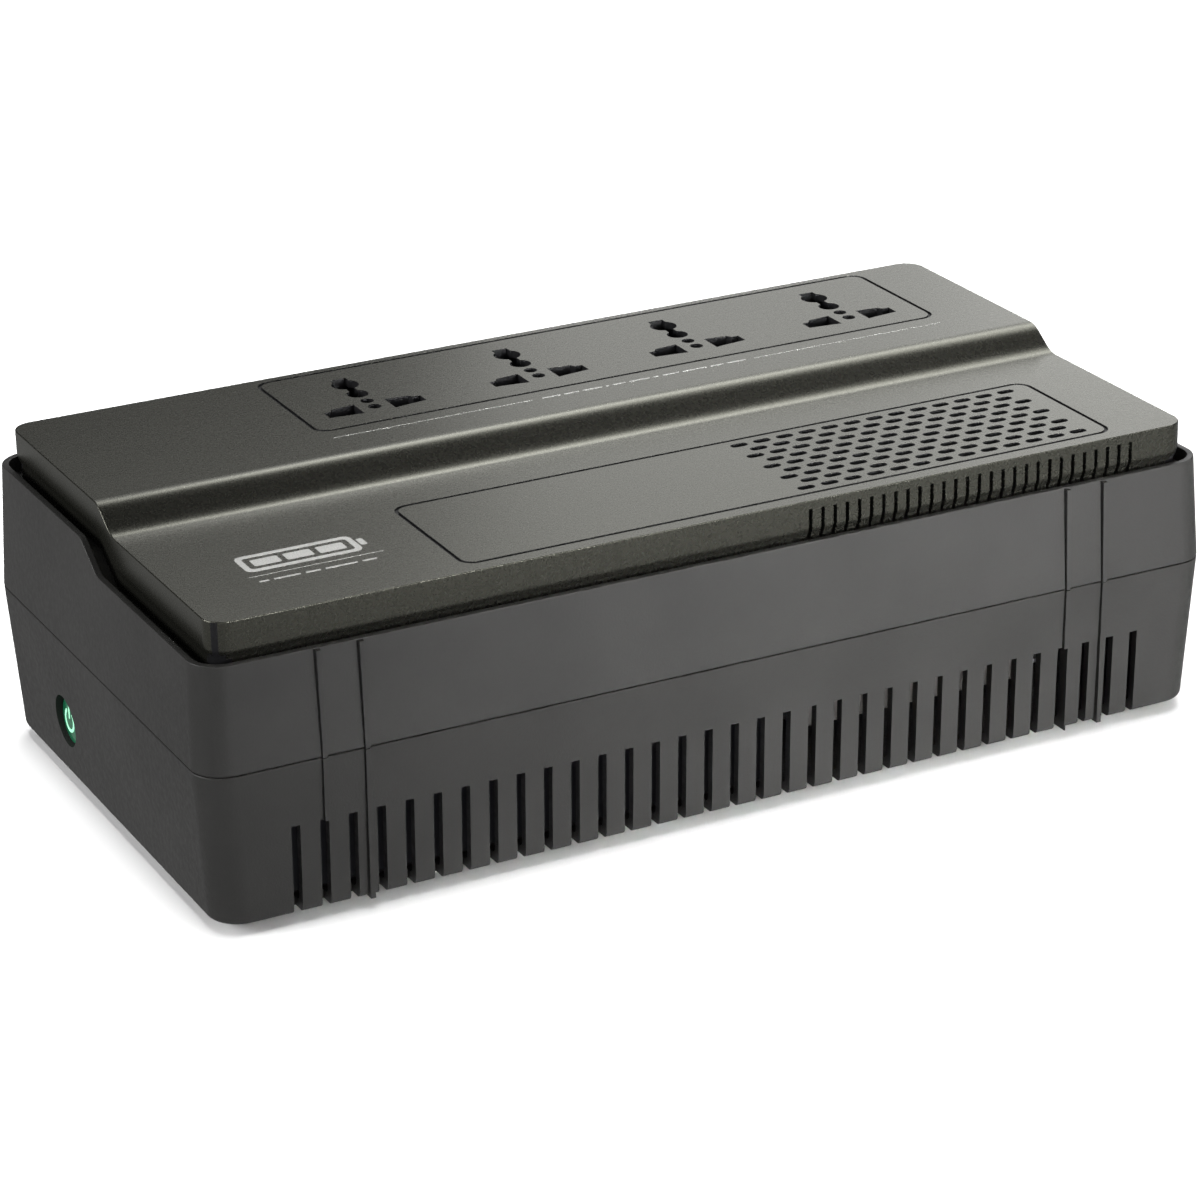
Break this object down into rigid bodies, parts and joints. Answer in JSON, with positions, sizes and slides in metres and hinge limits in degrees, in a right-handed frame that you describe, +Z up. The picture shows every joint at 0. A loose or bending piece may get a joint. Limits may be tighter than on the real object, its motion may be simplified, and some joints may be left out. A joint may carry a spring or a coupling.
{
  "type": "uninterruptible power supply",
  "caption": "Low desktop battery backup with a stepped, vented top, universal mains outlets along the back and a lit push button.",
  "frame": {"origin": "under the middle of the case, on the surface that the rubber feet stand on", "axes": "+X along the long side, away from the power button and towards the mains inlet; +Y from the low vented deck towards the outlets; +Z up"},
  "size_m": [0.305, 0.159, 0.0925],
  "materials": {
    "shell_plastic": "fine spark texture, charcoal",
    "cover_plastic": "metallic-flecked warm grey, satin",
    "rubber": "matt",
    "zinc_steel": "zinc plated",
    "brass": "rolled",
    "aluminium": "extruded",
    "black_plastic": "moulded",
    "green_lens": "translucent, lit from behind",
    "battery_plastic": "moulded",
    "lamination_steel": "varnished laminations",
    "coil_tape": "insulating tape over copper",
    "circuit_board": "solder mask",
    "relay_blue": "moulded",
    "capacitor_sleeve": "shrunk sleeve",
    "fuse_glass": "clear",
    "red_wire": "insulation",
    "black_wire": "insulation",
    "brown_wire": "insulation",
    "blue_wire": "insulation",
    "earth_wire": "insulation"
  },
  "bodies": {
    "case": {"ac_inlet": "black_plastic", "battery": "battery_plastic", "battery_lead_negative": "black_wire", "battery_lead_positive": "red_wire", "battery_strap": "zinc_steel", "battery_terminal_negative": "brass", "battery_terminal_positive": "brass", "board_screw_1": "zinc_steel", "board_screw_2": "zinc_steel", "board_screw_3": "zinc_steel", "board_screw_4": "zinc_steel", "bottom_case": "shell_plastic", "breaker_body": "black_plastic", "breaker_lead": "brown_wire", "breaker_nut": "zinc_steel", "button_board": "circuit_board", "button_holder": "black_plastic", "buzzer": "black_plastic", "capacitor_1": "capacitor_sleeve", "capacitor_2": "capacitor_sleeve", "case_screw_1": "zinc_steel", "case_screw_2": "zinc_steel", "case_screw_3": "zinc_steel", "case_screw_4": "zinc_steel", "earth_bus": "brass", "earth_lead": "earth_wire", "fuse": "fuse_glass", "heatsink_1": "aluminium", "heatsink_2": "aluminium", "inlet_pin_earth": "brass", "inlet_pin_live": "brass", "inlet_pin_neutral": "brass", "live_bus": "brass", "main_board": "circuit_board", "mains_live_lead": "brown_wire", "mains_neutral_lead": "blue_wire", "neutral_bus": "brass", "outlet_live_lead": "brown_wire", "outlet_neutral_lead": "blue_wire", "relay_1": "relay_blue", "relay_2": "relay_blue", "rubber_foot_1": "rubber", "rubber_foot_2": "rubber", "rubber_foot_3": "rubber", "rubber_foot_4": "rubber", "socket_body_1": "black_plastic", "socket_body_2": "black_plastic", "socket_body_3": "black_plastic", "socket_body_4": "black_plastic", "status_led": "green_lens", "tact_switch": "black_plastic", "top_cover": "cover_plastic", "transformer_coil": "coil_tape", "transformer_core": "lamination_steel", "transformer_frame": "zinc_steel", "transformer_screw_1": "zinc_steel", "transformer_screw_2": "zinc_steel", "upper_case": "shell_plastic"},
    "power_button": {"power_button": "green_lens"},
    "breaker_button": {"breaker_button": "black_plastic"}
  },
  "joints": [
    {"name": "power_press", "type": "slide", "parent": "case", "child": "power_button", "axis": [1, 0, 0], "range_m": [0, 0.0015], "stiffness_N_per_m": 800},
    {"name": "breaker_reset", "type": "slide", "parent": "case", "child": "breaker_button", "axis": [1, 0, 0], "range_m": [0, 0.003]}
  ]
}
